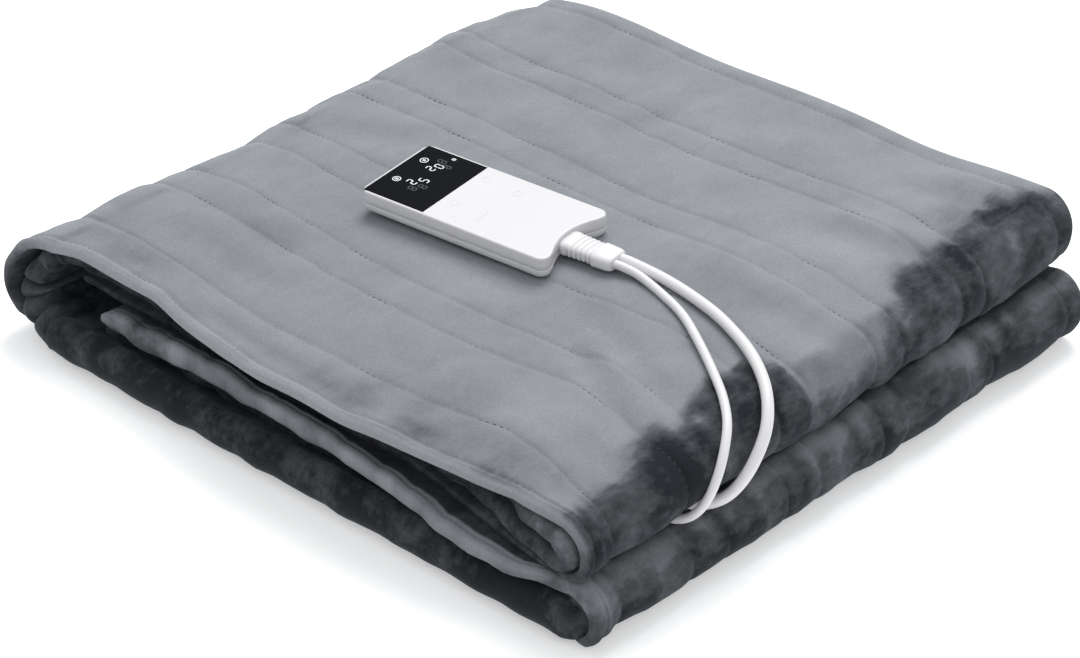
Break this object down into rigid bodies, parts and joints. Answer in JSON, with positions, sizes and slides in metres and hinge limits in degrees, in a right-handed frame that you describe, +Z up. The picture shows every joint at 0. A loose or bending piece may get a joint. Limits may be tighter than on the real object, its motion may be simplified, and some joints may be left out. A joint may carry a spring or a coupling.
{
  "type": "electric heated blanket",
  "caption": "Plush heated throw folded into a flat stack, with a hand controller lying on top and its leads running into the folds.",
  "frame": {"origin": "middle of the folded stack's box, on the surface it rests on", "axes": "+X along the front edge of the stack towards its two tight folds, +Y across the stack away from the hemmed edges, +Z up"},
  "size_m": [0.4359, 0.4817, 0.0912],
  "materials": {
    "plush": "cut pile plush",
    "case": "gloss",
    "window": "gloss",
    "lead": "satin",
    "pin": "bright nickel plate",
    "tie": "matt"
  },
  "bodies": {
    "root": {"blanket": "plush", "controller_top": "case", "controller_base": "case", "display_window": "window", "lead_boot": "lead", "supply_lead": "lead", "mains_lead": "lead", "mains_coil": "lead", "coil_tie": "tie", "mains_lead_end": "lead", "plug_body": "lead", "plug_pin_left": "pin", "plug_pin_right": "pin"}
  },
  "joints": []
}
